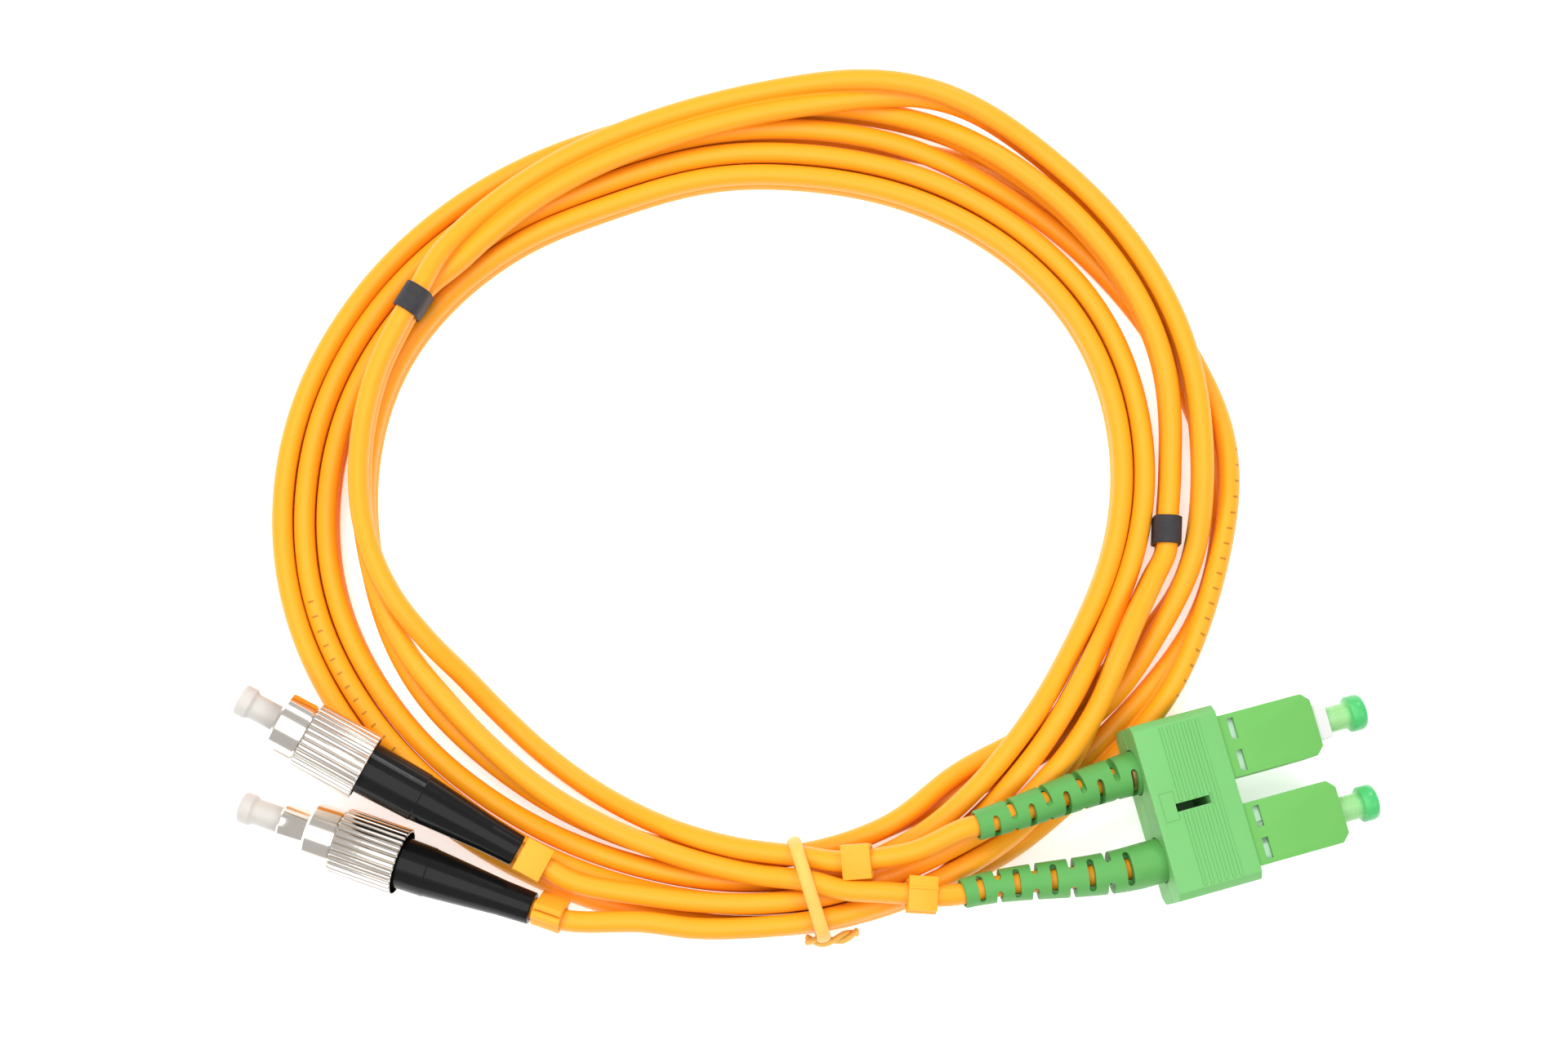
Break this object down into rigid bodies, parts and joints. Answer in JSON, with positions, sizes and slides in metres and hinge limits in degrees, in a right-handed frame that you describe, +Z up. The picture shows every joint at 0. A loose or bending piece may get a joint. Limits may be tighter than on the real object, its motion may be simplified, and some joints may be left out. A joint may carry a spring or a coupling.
{
  "type": "fiber optic patch cord",
  "caption": "Coiled duplex fiber optic patch cord with two FC plugs, a clipped duplex SC plug, cord markers, tie and dust caps.",
  "frame": {"origin": "centre of the bounding box of the plugs and clip at the resting plane, in plan about midway between the FC and SC ends", "axes": "+Z up; +X towards the SC plugs; +Y across the coil, away from the plugs"},
  "size_m": [0.1621, 0.1251, 0.0164],
  "materials": {
    "cord_jacket": "satin PVC",
    "split_sleeve": "matte heat-shrink",
    "marker_pvc": "satin PVC",
    "tie_band": "satin PVC over wire",
    "clip_plastic": "satin moulded",
    "housing_plastic": "satin moulded",
    "frame_plastic": "satin moulded",
    "green_boot": "matte",
    "green_cap": "translucent",
    "white_cap": "translucent",
    "black_boot": "glossy",
    "nickel_brass": "nickel plated",
    "brass": "turned",
    "steel": "plain",
    "crimp_metal": "nickel plated",
    "zirconia": "polished ceramic",
    "fibre_buffer": "satin"
  },
  "bodies": {
    "cord": {"duplex_cable": "cord_jacket", "fc_a_leg": "cord_jacket", "fc_b_leg": "cord_jacket", "sc_a_leg": "cord_jacket", "sc_b_leg": "cord_jacket", "fc_split_sleeve": "split_sleeve", "sc_split_sleeve": "split_sleeve", "fc_a_marker": "marker_pvc", "fc_b_marker": "marker_pvc", "sc_a_marker": "marker_pvc", "sc_b_marker": "marker_pvc", "bag_tie": "tie_band", "clip_upper_half": "clip_plastic", "clip_lower_half": "clip_plastic", "fc_a_front_body": "nickel_brass", "fc_a_rear_body": "brass", "fc_a_crimp_sleeve": "crimp_metal", "fc_a_boot": "black_boot", "fc_b_front_body": "nickel_brass", "fc_b_rear_body": "brass", "fc_b_crimp_sleeve": "crimp_metal", "fc_b_boot": "black_boot", "sc_a_outer_housing": "housing_plastic", "sc_b_outer_housing": "housing_plastic"},
    "fc_a_nut_slider": {"fc_a_nut_washer": "steel"},
    "fc_a_nut": {"fc_a_coupling_nut": "nickel_brass"},
    "fc_a_ferrule_set": {"fc_a_ferrule": "zirconia", "fc_a_ferrule_holder": "brass", "fc_a_spring": "steel", "fc_a_fibre": "fibre_buffer"},
    "fc_a_cap": {"fc_a_dust_cap": "white_cap"},
    "fc_b_nut_slider": {"fc_b_nut_washer": "steel"},
    "fc_b_nut": {"fc_b_coupling_nut": "nickel_brass"},
    "fc_b_ferrule_set": {"fc_b_ferrule": "zirconia", "fc_b_ferrule_holder": "brass", "fc_b_spring": "steel", "fc_b_fibre": "fibre_buffer"},
    "fc_b_cap": {"fc_b_dust_cap": "white_cap"},
    "sc_a_core": {"sc_a_inner_frame": "frame_plastic", "sc_a_rear_body": "brass", "sc_a_crimp_sleeve": "crimp_metal", "sc_a_boot": "green_boot"},
    "sc_a_ferrule_set": {"sc_a_ferrule": "zirconia", "sc_a_ferrule_holder": "brass", "sc_a_spring": "steel", "sc_a_fibre": "fibre_buffer"},
    "sc_a_cap": {"sc_a_dust_cap": "green_cap"},
    "sc_b_core": {"sc_b_inner_frame": "frame_plastic", "sc_b_rear_body": "brass", "sc_b_crimp_sleeve": "crimp_metal", "sc_b_boot": "green_boot"},
    "sc_b_ferrule_set": {"sc_b_ferrule": "zirconia", "sc_b_ferrule_holder": "brass", "sc_b_spring": "steel", "sc_b_fibre": "fibre_buffer"},
    "sc_b_cap": {"sc_b_dust_cap": "green_cap"}
  },
  "joints": [
    {"name": "fc_a_nut_slide", "type": "slide", "parent": "cord", "child": "fc_a_nut_slider", "axis": [-0.8753, 0.4772, 0.0785], "range_m": [-0.0045, 0]},
    {"name": "fc_a_nut_turn", "type": "hinge", "parent": "fc_a_nut_slider", "child": "fc_a_nut", "pos_m": [-0.06807, 0.00843, 0.01167], "axis": [-0.8753, 0.4772, 0.0785], "continuous": true},
    {"name": "fc_a_ferrule_float", "type": "slide", "parent": "cord", "child": "fc_a_ferrule_set", "axis": [-0.8753, 0.4772, 0.0785], "range_m": [-0.001, 0], "stiffness_N_per_m": 1200, "springref_m": 0.004, "deforming": ["fc_a_spring"]},
    {"name": "fc_a_cap_pull", "type": "slide", "parent": "fc_a_ferrule_set", "child": "fc_a_cap", "axis": [-0.8753, 0.4772, 0.0785], "range_m": [0, 0.012]},
    {"name": "fc_b_nut_slide", "type": "slide", "parent": "cord", "child": "fc_b_nut_slider", "axis": [-0.94, 0.3274, -0.0958], "range_m": [0, 0.0045]},
    {"name": "fc_b_nut_turn", "type": "hinge", "parent": "fc_b_nut_slider", "child": "fc_b_nut", "pos_m": [-0.06801, -0.00429, 0.00528], "axis": [-0.94, 0.3274, -0.0958], "continuous": true},
    {"name": "fc_b_ferrule_float", "type": "slide", "parent": "cord", "child": "fc_b_ferrule_set", "axis": [-0.94, 0.3274, -0.0958], "range_m": [-0.001, 0], "stiffness_N_per_m": 1200, "springref_m": 0.004, "deforming": ["fc_b_spring"]},
    {"name": "fc_b_cap_pull", "type": "slide", "parent": "fc_b_ferrule_set", "child": "fc_b_cap", "axis": [-0.94, 0.3274, -0.0958], "range_m": [0, 0.012]},
    {"name": "sc_a_push_pull", "type": "slide", "parent": "cord", "child": "sc_a_core", "axis": [0.9501, 0.2635, -0.1668], "range_m": [-0.0021, 0], "deforming": ["sc_a_leg"]},
    {"name": "sc_a_ferrule_float", "type": "slide", "parent": "sc_a_core", "child": "sc_a_ferrule_set", "axis": [0.9501, 0.2635, -0.1668], "range_m": [-0.001, 0], "stiffness_N_per_m": 1200, "springref_m": 0.004, "deforming": ["sc_a_spring"]},
    {"name": "sc_a_cap_pull", "type": "slide", "parent": "sc_a_ferrule_set", "child": "sc_a_cap", "axis": [0.9501, 0.2635, -0.1668], "range_m": [0, 0.012]},
    {"name": "sc_b_push_pull", "type": "slide", "parent": "cord", "child": "sc_b_core", "axis": [0.9501, 0.2635, -0.1668], "range_m": [0, 0.0021], "deforming": ["sc_b_leg"]},
    {"name": "sc_b_ferrule_float", "type": "slide", "parent": "sc_b_core", "child": "sc_b_ferrule_set", "axis": [0.9501, 0.2635, -0.1668], "range_m": [-0.001, 0], "stiffness_N_per_m": 1200, "springref_m": 0.004, "deforming": ["sc_b_spring"]},
    {"name": "sc_b_cap_pull", "type": "slide", "parent": "sc_b_ferrule_set", "child": "sc_b_cap", "axis": [0.9501, 0.2635, -0.1668], "range_m": [0, 0.012]}
  ]
}
